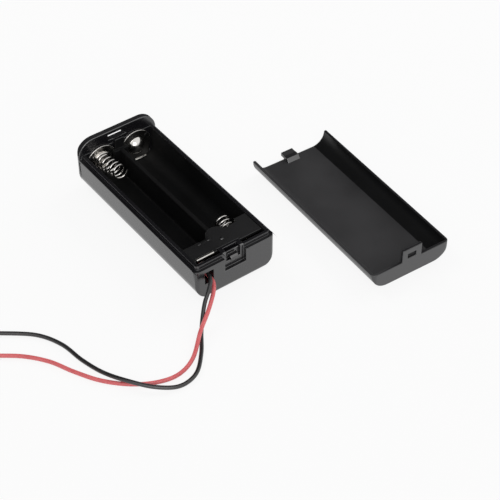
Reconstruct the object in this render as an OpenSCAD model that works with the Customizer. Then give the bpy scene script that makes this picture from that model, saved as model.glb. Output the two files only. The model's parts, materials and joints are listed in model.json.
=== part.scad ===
// Covered holder for two small cylindrical cells side by side, with a slide switch in a closed
// compartment at the lead end and a clip-on cover, shown lying inside up beside the case.
// Frame: X across the case, Y along it from the lead end to the hood, Z up from the underside.
// The origin is the centre of the underside. All sizes are in millimetres.

/* [Cells] */
// Diameter of one cell
cell_d = 10.5; // [8:0.1:16]
// Length of one cell over its terminals
cell_l = 44.5; // [34:0.5:70]
// Play between a cell and the side walls of its bay
bay_play = 0.65; // [0.3:0.05:1.5]
// Gap between a cell and the floor of its bay
cell_lift = 0.5; // [0:0.05:1]
// Room along a bay for a squeezed spring and the contact opposite
spring_room = 6.7; // [5:0.1:9]
// Room between the cells and the inside of the closed cover
head_room = 2.75; // [1.5:0.05:6]

/* [Case] */
// Side walls below the shoulder
side_wall = 2.0; // [1.6:0.1:3]
// End walls below the shoulder
end_wall = 2.0; // [1.6:0.1:3]
// Floor
floor_t = 2.0; // [1.4:0.1:3]
// Divider between the bays
divider_t = 1.2; // [0.8:0.1:2]
// Top of the divider above the underside
divider_h = 10.4; // [6:0.1:11]
// Wall between the bays and the switch compartment
partition_t = 1.3; // [1:0.1:2]
// How much thicker that wall is behind the right-hand bay
partition_step = 0.7; // [0:0.1:1.2]
// Length of the switch compartment
switch_room = 6.0; // [5.4:0.1:10]
// Height of the shoulder that the cover's edge sits on
shoulder_h = 11.3; // [9:0.1:14]
// Rise of the rim above the shoulder
rim_up = 1.2; // [0.6:0.1:2]
// How far the rim is set in from the outside
rim_set = 1.0; // [0.8:0.05:1.3]
// Radius of the long outer edges, on the case and on the cover
edge_r = 5.6; // [2.5:0.1:6.5]
// Radius of the bottom edges at both ends
end_r = 1.5; // [0.4:0.1:2.5]
// Radius of the upright corners
corner_r = 1.4; // [0.6:0.1:2.5]
// Draft of the side walls in degrees
draft = 2; // [0:0.5:3]
// Thickness of the hood above the far wall
hood_t = 1.8; // [1.2:0.1:2]

/* [Cover] */
// Thickness of the cover's panel
cover_t = 1.3; // [0.9:0.1:2]
// Thickness of its side flanges and end wall
flange_t = 0.9; // [0.7:0.05:1.2]
// Gap left where the closed cover meets the case
seam = 0.1; // [0.05:0.05:0.3]
// Width of the latch tab
tab_w = 6.9; // [5:0.1:9]
// How far the latch tab reaches past the cover's edge
tab_drop = 4.35; // [3.5:0.05:5]
// Width of the window in the tab
window_w = 3.0; // [2:0.1:4]
// Height of the window in the tab
window_h = 1.7; // [1.2:0.1:2]
// Width of the hook at the hood end
hook_w = 4.4; // [3:0.1:6]
// Thickness of the hook
hook_t = 1.2; // [0.8:0.1:1.6]
// Length of the hook's root on the panel
hook_root = 1.7; // [1.5:0.1:3]
// Sideways gap between the case and the cover lying beside it
beside_gap = 15.1; // [6:0.1:30]
// How far the lying cover starts in front of the case's lead end
beside_ahead = 25.9; // [0:0.1:40]
// Turn of the lying cover in degrees
beside_turn = -2.7; // [-8:0.1:8]

/* [Contacts] */
// Thickness of the contact sheet
plate_t = 0.3; // [0.2:0.05:0.4]
// Radius of the round top of the far plates
plate_r = 5.3; // [4:0.1:5.4]
// Width of the plates below their round tops
plate_w = 9.0; // [6:0.1:10]
// Height of the strip that joins the two far plates
strip_h = 3.6; // [2:0.1:5]
// Radius of a pressed button at its base
button_r = 2.9; // [1.5:0.1:3.5]
// Height of the far button
button_h = 2.0; // [1:0.1:2.2]
// Height of the near button
near_button_h = 1.0; // [0.5:0.1:1.4]
// Diameter of the spring wire
spring_wire = 0.55; // [0.4:0.05:0.7]
// Free length of the far spring
far_spring_l = 10.0; // [7:0.1:11]
// Free length of the near spring
near_spring_l = 5.8; // [5:0.1:9]
// Radius of the springs' base turn
spring_base_r = 3.1; // [2.8:0.1:4]
// Radius of the springs at the tip
spring_tip_r = 2.1; // [1.6:0.1:2.6]
// Rise of the far spring's tip above its base
spring_lift = 1.6; // [0:0.1:2.5]
// Sideways lean of the far spring's tip
spring_lean = 0.7; // [-1:0.1:1]
// Rise of the near spring's tip above its base
near_lift = 1.7; // [0:0.1:2]

/* [Switch] */
// Length of the switch frame
switch_l = 8.6; // [8:0.1:10]
// Width of the switch frame
switch_w = 4.2; // [4:0.1:5]
// Height of the switch frame
switch_h = 3.6; // [3.4:0.1:4.5]
// Sideways place of the switch's middle
switch_x = 5.45; // [4.8:0.05:6]
// Travel of the knob
knob_travel = 2.0; // [1.5:0.1:2.4]
// Length of the knob's stem along its travel
stem_l = 2.0; // [1.5:0.1:2.4]
// Width of the knob's stem
stem_w = 1.8; // [1.2:0.1:2]
// Spacing of the terminals
pitch = 2.5; // [2:0.1:2.8]

/* [Leads] */
// Diameter of a lead over its insulation
lead_d = 1.2; // [0.9:0.05:1.4]
// Diameter of the tinned strands
strand_d = 0.6; // [0.4:0.05:0.8]
// Length of the tinned ends
strand_l = 5.0; // [3:0.5:8]
// Distance from the case's left side to the middle of the lead slot
slot_inset = 4.65; // [4:0.05:6]
// Height of the bottom of the lead slot
slot_z = 5.6; // [5:0.1:7]

/* [Hidden] */
$fn = 48;
over = 1;            // how far a cutter runs past the face it cuts
slip = 0.15;         // clearance of pieces that drop into the case by hand
fit = 0.1;           // clearance of what slides or is staked

// the case's plan
bay_w = cell_d + bay_play;
bay_x = (divider_t + bay_w) / 2;
inner_x = divider_t / 2 + bay_w;
case_w = 2 * (inner_x + side_wall);
case_l = 2 * end_wall + switch_room + partition_t + cell_l + spring_room;
near_y = -case_l / 2;
far_y = case_l / 2;
room_y = near_y + end_wall;
room_end_y = room_y + switch_room;
left_face_y = room_end_y + partition_t;
right_face_y = left_face_y + partition_step;
far_face_y = far_y - end_wall;

// heights
cell_z = floor_t + cell_lift + cell_d / 2;
closed_h = cell_z + cell_d / 2 + head_room + cover_t;
rim_h = shoulder_h + rim_up;
cover_h = closed_h - shoulder_h - seam;
cover_l = case_l - hood_t - seam;
inner_r = max(0.4, edge_r - side_wall);
cover_r = min(edge_r, cover_h - 0.2);
cover_inner_r = max(0.4, min(cover_r - flange_t, cover_h - cover_t - 0.1));

// latch: the tab's window drops over a nub in a recess of the near wall
recess_w = tab_w + 2 * slip;
recess_d = flange_t + 0.25;
recess_z = shoulder_h - tab_drop - 0.25;
window_up = 0.75;
nub_z = shoulder_h + seam - window_up - window_h + fit;
nub_w = window_w - 0.4;
nub_out = 0.8;
tongue_w = 4.7;
tongue_y = near_y + recess_d + 0.9;
tongue_t = 0.55;
tongue_top = shoulder_h + 0.25;
pocket_d = 1.1;
frame_t = 0.8;
frame_r = 0.5;
frame_z = recess_z - over;

// hook: it enters a slit in the hood, above a keeper block
hook_l = hood_t + seam - 0.05;
hook_z = closed_h - cover_t - hook_t;
slit_z = hook_z - 0.65;
slit_h = hook_t + 0.75;
slit_flare = 0.9;
keeper_w = 3.2;
keeper_d = 1.0;
keeper_top = hook_z - 0.2;
end_block_w = 4.8;
end_block_l = 1.9;

// compartment plate, staked on three pins
plate_h = 1.0;
groove = 1.4;
lid_y = room_y + groove;
right_edge_y = right_face_y;
right_corner_y = right_edge_y + 1.4;
corner_x = bay_x + 1.5;
bulge_r = 3.6;
bulge_y = left_face_y - 0.7;
pin_d = 0.9;
post_d = 1.8;
pin_y = room_end_y + partition_t / 2;
pins = [[-bay_x - 0.4, pin_y], [-bay_x + 2.8, pin_y], [0, room_end_y - 1.2]];
head_d = 1.4;
head_h = 0.25;

// contacts
far_plate_y = far_face_y - plate_t;
plate_z = floor_t + fit;
strip_z = plate_z + 0.9;
foot_l = 0.35;
stake_d = 1.0;
stake_dx = 3.7;
stake_dz = 2.5;
tab_x = [-case_w / 2 + 2.8, -case_w / 2 + 8.7];
run_z = shoulder_h - plate_t;
tab_y = lid_y - plate_t - 0.05;
curl_in = 0.12;
curl_out = curl_in + plate_t;
curl_z = shoulder_h + plate_h + 0.05 - curl_in;
curl_l = 0.5;
tail_w = 1.6;
tail_z = floor_t + 6.3;

// switch, standing on the floor with its knob through it
switch_y = room_y + 3.2;
can_t = 0.3;
base_t = 1.0;
pad_t = 0.2;
pad_w = 1.6;
pin_w = 0.8;
pin_top = floor_t + 7.2;
base_z = floor_t + switch_h - base_t;
flange_z = floor_t + can_t + 0.05;
knob_flange_t = 0.8;
knob_flange_l = 4.0;
knob_flange_w = 3.0;
knob_x = switch_x + knob_travel / 2;
stem_z = 0.25;
recess_l = 7.0;
recess_wide = 4.0;
recess_deep = 0.9;

// leads: two side by side in the slot, each from its joint inside to its stripped end
slot_x = -case_w / 2 + slot_inset;
slot_w = 2 * lead_d + 0.6;
slot_top = slot_z + 4.2;
red_exit = [slot_x + 0.7, near_y, 6.4];
black_exit = [slot_x + 0.1, near_y, 7.6];
red_end_z = run_z - 1.2;
terminal_x = switch_x - pitch - pin_w / 2;
joint_gap = 0.7;
red_inside = [[0, 5, red_end_z - red_exit.z], [0, 4.53, 1.83], [0, 3.65, 0.72], [0, 2.2, 0.05]];
black_inside = [[terminal_x - joint_gap, 5.2, 8.6], [-1.0, 5.2, 8.6], [-3.6, 5.1, 8.5],
                [-6.0, 4.4, 8.3], [-7.7, 3.1, 8.05], [-8.5, 1.6, 7.8]];
red_outside = [[0, 0, 0], [-0.5, -1.7, -0.2], [-2.2, -3.9, -1], [-6.4, -7.3, -2.8],
               [-12, -11.5, -3.9], [-18.6, -17.2, -5.5], [-24.8, -19.5, -5.75],
               [-31, -18.4, -5.75], [-37.2, -14.7, -5.75], [-42.8, -8.9, -5.75],
               [-46.9, -1.9, -5.75], [-50.2, 5, -5.75], [-54.9, 10.9, -5.75],
               [-61, 15.8, -5.75], [-68.29, 21.39, -5.75]];
black_outside = [[0, 0, 0], [-0.9, -1.6, -0.35], [-2.7, -3.2, -1.3], [-5.8, -5.4, -3.4],
                 [-10.2, -10.2, -6.4], [-15, -16.9, -6.95], [-20.4, -22.1, -6.95],
                 [-26.4, -23.1, -6.95], [-32.2, -20, -6.2], [-37.2, -14.3, -5.5],
                 [-40.4, -7.2, -6.4], [-42.3, 0.4, -6.95], [-43.7, 8.6, -6.95],
                 [-47.6, 15.9, -6.95], [-55.53, 22.59, -6.95]];
red_path = concat([for (p = red_inside) red_exit + p], [for (p = red_outside) red_exit + p]);
black_path = concat([for (p = black_inside) [p.x, near_y + p.y, p.z]],
                    [for (p = black_outside) black_exit + p]);

// --- shared geometry ---

// a profile in X and Z, carried along Y
module along_y(from, to) {
  translate([0, to, 0]) rotate([90, 0, 0]) linear_extrude(height = to - from) children();
}

// a profile in Y and Z, carried along X
module along_x(from, to) {
  translate([from, 0, 0]) rotate([90, 0, 90]) linear_extrude(height = to - from) children();
}

module block(low, high) {
  translate(low) cube(high - low);
}

// rectangle with round corners, centred, as squares and circles
module round_rect(w, l, r) {
  square([w - 2 * r, l], center = true);
  square([w, l - 2 * r], center = true);
  for (x = [-1, 1], y = [-1, 1]) translate([x * (w / 2 - r), y * (l / 2 - r)]) circle(r);
}

// trough section: width w at height h, sides leaning in by a degrees, round bottom corners
module trough(w, h, r, a) {
  cx = w / 2 - r * cos(a) - tan(a) * (h - r + r * sin(a));
  tx = cx + r * cos(a);
  tz = r - r * sin(a);
  polygon([[-cx, 0], [cx, 0], [tx, tz], [w / 2, h], [-w / 2, h], [-tx, tz]]);
  for (s = [-1, 1]) translate([s * cx, r]) circle(r);
}

// cavity section from x0 to x1 above height z, with round bottom corners of r0 and r1
module cavity(x0, x1, z, top, r0, r1) {
  translate([x0 + r0, z]) square([x1 - x0 - r0 - r1, top - z]);
  translate([x0, z + r0]) square([r0 + over / 2, top - z - r0]);
  translate([x1 - r1 - over / 2, z + r1]) square([r1 + over / 2, top - z - r1]);
  translate([x0 + r0, z + r0]) circle(r0);
  translate([x1 - r1, z + r1]) circle(r1);
}

function unit(v) = v / norm(v);

function tangents(p) =
  [for (i = [0 : len(p) - 1]) unit(p[min(i + 1, len(p) - 1)] - p[max(i - 1, 0)])];

// a normal carried along the path without twisting
function carried(t, n, i = 0) =
  i == len(t) ? [] : let (m = unit(n - (n * t[i]) * t[i])) concat([m], carried(t, m, i + 1));

// smooth curve through the points, with n steps between each two
function through(a, b, c, d, t) =
  (2 * b + (c - a) * t + (2 * a - 5 * b + 4 * c - d) * t * t
   + (3 * b - a - 3 * c + d) * t * t * t) / 2;

function smooth(p, n) = let (last = len(p) - 1)
  concat([for (i = [0 : last - 1], k = [0 : n - 1])
            through(p[max(i - 1, 0)], p[i], p[i + 1], p[min(i + 2, last)], k / n)],
         [p[last]]);

module tube(path, d, sides) {
  t = tangents(path);
  n = carried(t, [0.1, 1, 0.1]);
  last = len(path) - 1;
  points = [for (i = [0 : last], k = [0 : sides - 1])
              path[i] + d / 2 * (cos(360 * k / sides) * n[i]
                                 + sin(360 * k / sides) * cross(t[i], n[i]))];
  walls = [for (i = [0 : last - 1], k = [0 : sides - 1]) let (j = (k + 1) % sides)
             [i * sides + k, (i + 1) * sides + k, (i + 1) * sides + j, i * sides + j]];
  caps = [[for (k = [0 : sides - 1]) k], [for (k = [sides - 1 : -1 : 0]) last * sides + k]];
  polyhedron(points = points, faces = concat(walls, caps), convexity = 10);
}

// --- case ---

// outside of the case up to the shoulder, the rim inside it and the hood at the far end
module case_outside() {
  intersection() {
    union() {
      along_y(near_y, far_y) trough(case_w, shoulder_h, edge_r, draft);
      along_y(far_y - hood_t, far_y) hood_section();
    }
    linear_extrude(height = closed_h) round_rect(case_w, case_l, corner_r);
    along_x(-case_w, case_w) end_profile();
  }
  translate([0, rim_set / 2, shoulder_h - over])
    linear_extrude(height = rim_up + over)
      round_rect(case_w - 2 * rim_set, case_l - rim_set, corner_r - 0.4);
}

// side view of the case, with round bottom edges at both ends
module end_profile() {
  translate([near_y, end_r]) square([case_l, closed_h - end_r]);
  translate([near_y + end_r, 0]) square([case_l - 2 * end_r, closed_h]);
  for (y = [near_y + end_r, far_y - end_r]) translate([y, end_r]) circle(end_r);
}

module hood_section() {
  translate([-case_w / 2, shoulder_h - over]) square([case_w, closed_h - cover_r - shoulder_h + over]);
  translate([-case_w / 2 + cover_r, closed_h - cover_r - over]) square([case_w - 2 * cover_r, cover_r + over]);
  for (s = [-1, 1]) translate([s * (case_w / 2 - cover_r), closed_h - cover_r]) circle(cover_r);
}

module case_hollow() {
  top = rim_h + over;
  // one bay each side of the divider, then the room above it
  along_y(left_face_y, far_face_y) cavity(-inner_x, -divider_t / 2, floor_t, top, inner_r, 0.8);
  along_y(right_face_y, far_face_y) cavity(divider_t / 2, inner_x, floor_t, top, 0.8, inner_r);
  block([-inner_x, left_face_y, divider_h], [inner_x, far_face_y, top]);
  // switch compartment and the seat of its plate
  along_y(room_y, room_end_y) cavity(-inner_x, inner_x, floor_t, top, 1.5, 1.5);
  block([-inner_x, room_y, shoulder_h], [inner_x, left_face_y + over, top]);
}

// the slit's plan, flared towards the inside of the hood
module slit_plan() {
  w = hook_w / 2 + slip;
  wide = w + slit_flare;
  polygon([[-wide, far_face_y - over], [wide, far_face_y - over], [wide, far_y - hood_t],
           [w, far_y], [w, far_y + over], [-w, far_y + over], [-w, far_y], [-wide, far_y - hood_t]]);
}

// block under the hood's slit and the wide foot of the divider below it
module hook_keeper() {
  block([-keeper_w / 2, far_face_y - keeper_d, divider_h - over], [keeper_w / 2, far_y - over, keeper_top]);
  block([-end_block_w / 2, far_face_y - end_block_l, floor_t - over],
        [end_block_w / 2, far_face_y + over, divider_h]);
}

// block that carries the latch: its springy tongue stands in a gap between two posts
module latch_frame() {
  block([-recess_w / 2, room_y - over / 2, frame_z],
        [recess_w / 2, room_y + pocket_d + frame_t, rim_h]);
}

module latch_cuts() {
  block([-recess_w / 2, near_y - over, recess_z], [recess_w / 2, near_y + recess_d, rim_h + over]);
  // gaps in front of the tongue, behind it and over it
  block([-tongue_w / 2, near_y, nub_z - fit], [tongue_w / 2, tongue_y, rim_h + over]);
  block([-tongue_w / 2, tongue_y + tongue_t, recess_z], [tongue_w / 2, room_y + pocket_d, rim_h + over]);
  block([-tongue_w / 2, near_y, tongue_top], [tongue_w / 2, room_y + pocket_d, rim_h + over]);
  // round front edge on top of the posts
  along_x(-recess_w / 2, recess_w / 2) translate([near_y + recess_d, rim_h]) difference() {
    translate([-over, -frame_r]) square([frame_r + over, frame_r + over]);
    translate([frame_r, -frame_r]) circle(frame_r);
  }
}

module latch_nub() {
  wall = near_y + recess_d;
  top = nub_z + window_h - 2 * fit;
  along_x(-nub_w / 2, nub_w / 2)
    polygon([[tongue_y + 0.3, nub_z], [wall - nub_out, nub_z], [wall - nub_out, top - 0.65],
             [wall - 0.3, top], [tongue_y + 0.3, top]]);
}

// pin with a melted head over the plate
module plate_pin(p) {
  translate([p.x, p.y, shoulder_h - over]) cylinder(h = plate_h + over, d = pin_d);
  translate([p.x, p.y, shoulder_h + plate_h]) cylinder(h = head_h, d1 = head_d, d2 = pin_d);
}

// stake through a far plate, with its melted head
module contact_stake(s) {
  translate([s * (bay_x + stake_dx), far_face_y + over, cell_z + stake_dz]) rotate([90, 0, 0]) {
    cylinder(h = over + plate_t, d = stake_d);
    translate([0, 0, over + plate_t]) cylinder(h = 0.3, d1 = stake_d + 0.5, d2 = stake_d);
  }
}

module case() color("#1d1d20") {
  difference() {
    union() {
      difference() {
        case_outside();
        case_hollow();
      }
      hook_keeper();
      latch_frame();
    }
    latch_cuts();
    // slit for the cover's hook, wider at the inside
    translate([0, 0, slit_z]) linear_extrude(height = slit_h) slit_plan();
    // groove behind the keeper and the divider, which the far plates and their strip drop into
    block([-bay_x, far_plate_y - fit, floor_t], [bay_x, far_face_y, closed_h - cover_t]);
    // slot for the leads
    block([slot_x - slot_w / 2, near_y - over, slot_z], [slot_x + slot_w / 2, room_y + over, slot_top]);
    // step in the partition for the positive contact, and the slit for the negative one's tail
    block([tab_x[0] - fit, room_end_y - over, run_z], [tab_x[1] + fit, left_face_y + over, shoulder_h + over]);
    block([switch_x - tail_w / 2 - fit, room_end_y - over, tail_z - fit],
          [switch_x + tail_w / 2 + fit, right_face_y + over, tail_z + plate_t + fit]);
    // slot for the knob, in a finger recess of the underside
    block([switch_x - (knob_travel + stem_l) / 2 - slip, switch_y - stem_w / 2 - slip, -over],
          [switch_x + (knob_travel + stem_l) / 2 + slip, switch_y + stem_w / 2 + slip, floor_t + over]);
    block([switch_x - recess_l / 2, switch_y - recess_wide / 2, -over],
          [switch_x + recess_l / 2, switch_y + recess_wide / 2, recess_deep]);
  }
  latch_nub();
  for (p = pins) plate_pin(p);
  translate([pins[2].x, pins[2].y, floor_t - over]) cylinder(h = shoulder_h - floor_t + over, d = post_d);
  for (s = [-1, 1]) contact_stake(s);
}

// flat plate over the switch, with a notch round the latch frame and a round nose over the divider
module compartment_plate() color("#1f1f22") {
  side = inner_x - slip;
  translate([0, 0, shoulder_h]) linear_extrude(height = plate_h) difference() {
    union() {
      polygon([[-side, lid_y], [side, lid_y], [side, right_corner_y], [corner_x, right_corner_y],
               [corner_x, right_edge_y], [0, right_edge_y], [0, left_face_y], [-side, left_face_y]]);
      translate([0, bulge_y]) circle(bulge_r);
    }
    translate([-recess_w / 2 - slip, lid_y - over])
      square([recess_w + 2 * slip, pocket_d + frame_t - groove + over + slip]);
    for (p = pins) translate(p) circle(d = pin_d + fit);
  }
}

// --- contacts ---

// pressed button as a thin cap on a plate, bulging along Z
module button(h) {
  big = (button_r * button_r + h * h) / (2 * h);
  rotate_extrude() intersection() {
    translate([0, h - big]) difference() {
      circle(big);
      circle(big - plate_t);
    }
    square([button_r + over, h + over]);
  }
}

// section of one bay, a little inside its walls, s = -1 for the left bay and 1 for the right
module bay_section(s) {
  mirror([s > 0 ? 0 : 1, 0]) cavity(fit + divider_t / 2, inner_x - fit, plate_z, closed_h, 0.8, inner_r);
}

// plate with a round top, in X and Z, with a hole for its stake
module far_plate(s) {
  difference() {
    intersection() {
      union() {
        translate([s * bay_x, cell_z + fit]) circle(plate_r);
        translate([s * bay_x - plate_w / 2, plate_z]) square([plate_w, cell_z - plate_z]);
      }
      bay_section(s);
    }
    translate([s * (bay_x + stake_dx), cell_z + stake_dz]) circle(d = stake_d + fit);
    if (s > 0) translate([bay_x, cell_z]) circle(button_r - plate_t);
  }
}

module bridge_contact() color("#c9c9c4") {
  along_y(far_plate_y, far_face_y) far_plate(-1);
  along_y(far_plate_y, far_face_y) far_plate(1);
  along_y(far_plate_y, far_face_y) difference() {
    translate([-bay_x, strip_z]) square([2 * bay_x, strip_h]);
    translate([bay_x, cell_z]) circle(button_r - plate_t);
  }
  // foot folded onto the floor
  along_y(far_plate_y - foot_l, far_plate_y + over / 5) intersection() {
    translate([bay_x - 0.6, plate_z]) square([3.8, plate_t]);
    bay_section(1);
  }
  translate([bay_x, far_plate_y, cell_z]) rotate([90, 0, 0]) button(button_h);
}

module positive_contact() color("#c9c9c4") {
  x = tab_x;
  along_y(left_face_y, left_face_y + plate_t) difference() {
    intersection() {
      translate([-bay_x - plate_w / 2, plate_z]) square([plate_w, run_z + plate_t / 2 - plate_z]);
      bay_section(-1);
    }
    translate([-bay_x, cell_z]) circle(button_r - plate_t);
  }
  difference() {
    block([x[0], tab_y, run_z], [x[1], left_face_y + plate_t, shoulder_h]);
    translate([pins[0].x, pins[0].y, run_z - over]) cylinder(h = plate_t + 2 * over, d = pin_d + fit);
  }
  // upturned end, its edge rolled over the edge of the compartment plate
  along_x(x[0], x[1]) {
    translate([tab_y, run_z]) square([plate_t, curl_z - run_z]);
    translate([tab_y + curl_out, curl_z]) intersection() {
      difference() {
        circle(curl_out);
        circle(curl_in);
      }
      translate([-curl_out, 0]) square(curl_out);
    }
    translate([tab_y + curl_out, curl_z + curl_in]) square([curl_l, plate_t]);
  }
  translate([-bay_x, left_face_y + plate_t, cell_z]) rotate([-90, 0, 0]) button(near_button_h);
}

module negative_contact() color("#c9c9c4") {
  along_y(right_face_y, right_face_y + plate_t) intersection() {
    translate([bay_x - plate_w / 2 + 1, plate_z]) square([plate_w - 2, shoulder_h - 0.2 - plate_z]);
    bay_section(1);
  }
  block([switch_x - tail_w / 2, switch_y + plate_t / 2, tail_z],
        [switch_x + tail_w / 2, right_face_y + over / 4, tail_z + plate_t]);
}

// cone-shaped spring on a flat base turn, along Y in the direction s, its tip moved by lean and lift
module coil_spring(x, y, s, length, turns, lean, lift) {
  steps = 16;
  count = turns * steps;
  sink = 0.04;
  first = spring_wire / 2 - sink;
  rise = length - spring_wire + sink;
  path = [for (i = [0 : count]) let (
      a = 360 * i / steps,
      turn = i / steps,
      up = max(0, (turn - 0.9) / (turns - 0.9)),
      r = turn < 1 ? spring_base_r - 0.65 * turn
                   : spring_base_r - 0.65 - (spring_base_r - 0.65 - spring_tip_r) * (turn - 1) / (turns - 1))
    [x + r * cos(a) + lean * up, y + s * (first + rise * up), cell_z + r * sin(a) + lift * up]];
  tube(path, spring_wire, 6);
}

module far_spring() color("#d6d6d2")
  coil_spring(-bay_x, far_plate_y, -1, far_spring_l, 6, spring_lean, spring_lift);

module near_spring() color("#d6d6d2")
  coil_spring(bay_x, right_face_y + plate_t, 1, near_spring_l, 5, 0, near_lift);

// --- switch ---

module switch_frame() color("#b9bbbd") difference() {
  block([switch_x - switch_l / 2, switch_y - switch_w / 2, floor_t],
        [switch_x + switch_l / 2, switch_y + switch_w / 2, floor_t + switch_h]);
  block([switch_x - switch_l / 2 + can_t, switch_y - switch_w / 2 + can_t, floor_t + can_t],
        [switch_x + switch_l / 2 - can_t, switch_y + switch_w / 2 - can_t, floor_t + switch_h + over]);
  block([switch_x - (knob_travel + stem_l) / 2 - fit, switch_y - stem_w / 2 - fit, floor_t - over],
        [switch_x + (knob_travel + stem_l) / 2 + fit, switch_y + stem_w / 2 + fit, floor_t + can_t + over]);
}

module pin_blade(i, from, to) {
  block([switch_x + i * pitch - pin_w / 2, switch_y - plate_t / 2, from],
        [switch_x + i * pitch + pin_w / 2, switch_y + plate_t / 2, to]);
}

module switch_base() color("#7a4a22") difference() {
  block([switch_x - switch_l / 2 + can_t, switch_y - switch_w / 2 + can_t, base_z],
        [switch_x + switch_l / 2 - can_t, switch_y + switch_w / 2 - can_t, floor_t + switch_h]);
  for (i = [-1 : 1]) pin_blade(i, base_z - over, floor_t + switch_h + over);
}

module switch_terminals() color("#d8d3c0") for (i = [-1 : 1]) {
  pin_blade(i, base_z - pad_t, pin_top);
  block([switch_x + i * pitch - pad_w / 2, switch_y - pad_w / 2, base_z - pad_t],
        [switch_x + i * pitch + pad_w / 2, switch_y + pad_w / 2, base_z]);
}

// clip that rides on the knob and bridges two pads
module switch_wiper() color("#c9a15a") {
  z = flange_z + knob_flange_t;
  top = base_z - pad_t - 0.05;
  t = 0.2;
  arm = pitch / 2;
  translate([0, switch_y, 0]) along_y(-0.6, 0.6) translate([knob_x, 0])
    polygon([[-0.6, z], [0.6, z], [arm + 0.3, top - t], [arm + 0.6, top - 2 * t], [arm + 0.6, top - t],
             [arm + 0.3, top], [arm, top], [0.5, z + t], [-0.5, z + t], [-arm, top], [-arm - 0.3, top],
             [-arm - 0.6, top - t], [-arm - 0.6, top - 2 * t], [-arm - 0.3, top - t]]);
}

module switch_knob() color("#18181a") {
  block([knob_x - knob_flange_l / 2, switch_y - knob_flange_w / 2, flange_z],
        [knob_x + knob_flange_l / 2, switch_y + knob_flange_w / 2, flange_z + knob_flange_t]);
  difference() {
    block([knob_x - stem_l / 2, switch_y - stem_w / 2, stem_z],
          [knob_x + stem_l / 2, switch_y + stem_w / 2, flange_z + over / 4]);
    // grip grooves across the tip
    for (g = [-1 : 1]) translate([knob_x + 0.55 * g, switch_y, stem_z]) rotate([0, 45, 0])
      cube([0.28, stem_w + over, 0.28], center = true);
  }
}

// --- leads ---

module solder_joints() color("#b8b8b8") {
  // red lead under the positive contact
  translate([red_exit.x, near_y + red_inside[0].y, red_end_z])
    cylinder(h = run_z - red_end_z, d1 = lead_d - 0.2, d2 = lead_d + 0.6);
  // black lead on the side of its terminal
  translate([terminal_x - joint_gap, switch_y, black_inside[0].z]) rotate([0, 90, 0])
    cylinder(h = joint_gap, d1 = lead_d - 0.2, d2 = lead_d + 0.2);
  // negative contact's tail on the middle terminal
  difference() {
    translate([switch_x, switch_y + plate_t / 2, tail_z + plate_t]) sphere(r = 0.6);
    pin_blade(0, floor_t, pin_top);
    block([switch_x - over, switch_y - over, floor_t], [switch_x + over, switch_y + over, tail_z + plate_t]);
  }
}

module lead(path) {
  tube(smooth(path, 2), lead_d, 8);
}

// stripped and tinned end, straight on from the end of the insulation
module lead_end(path) {
  last = len(path) - 1;
  line = smooth(path, 2);
  way = unit(path[last] - line[len(line) - 2]);
  translate(path[last]) rotate([0, 0, atan2(way.y, way.x)]) rotate([0, 90, 0])
    cylinder(h = strand_l, d = strand_d);
}

module red_lead() color("#c8393b") lead(red_path);

module black_lead() color("#161618") lead(black_path);

module red_lead_end() color("#c4c4c0") lead_end(red_path);

module black_lead_end() color("#c4c4c0") lead_end(black_path);

// --- cover ---

module cover_section(w, top, r, z) {
  cavity(-w / 2, w / 2, z, top, r, r);
}

// the cover lying on its outside, its latch end at y = 0
module cover_inside_up() {
  tab_top_z = cover_h + tab_drop;
  difference() {
    union() {
      intersection() {
        along_y(0, cover_l) cover_section(case_w, cover_h, cover_r, 0);
        translate([0, cover_l / 2 + corner_r, 0]) linear_extrude(height = cover_h)
          round_rect(case_w, cover_l + 2 * corner_r, corner_r);
      }
      block([-tab_w / 2, 0, cover_t], [tab_w / 2, flange_t, tab_top_z]);
    }
    along_y(flange_t, cover_l + over)
      cover_section(case_w - 2 * flange_t, cover_h + over, cover_inner_r, cover_t);
    block([-window_w / 2, -over, cover_h + window_up], [window_w / 2, flange_t + over, cover_h + window_up + window_h]);
  }
  along_x(-hook_w / 2, hook_w / 2)
    polygon([[cover_l - hook_root - 0.8, cover_t - 0.3], [cover_l, cover_t - 0.3], [cover_l, cover_t + hook_t],
             [cover_l - hook_root, cover_t + hook_t], [cover_l - hook_root - 0.8, cover_t]]);
  block([-hook_w / 2 + 0.1, cover_l - over, cover_t], [hook_w / 2 - 0.1, cover_l + hook_l, cover_t + hook_t]);
}

module cover() color("#202023")
  translate([case_w / 2 + beside_gap, near_y - beside_ahead, 0]) rotate([0, 0, beside_turn])
    translate([case_w / 2, 0, 0]) cover_inside_up();

case();
compartment_plate();
bridge_contact();
far_spring();
positive_contact();
negative_contact();
near_spring();
switch_frame();
switch_base();
switch_terminals();
switch_wiper();
switch_knob();
solder_joints();
red_lead();
black_lead();
red_lead_end();
black_lead_end();
cover();
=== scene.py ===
import json
import math

import bmesh
import bpy
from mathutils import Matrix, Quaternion, Vector

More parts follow.
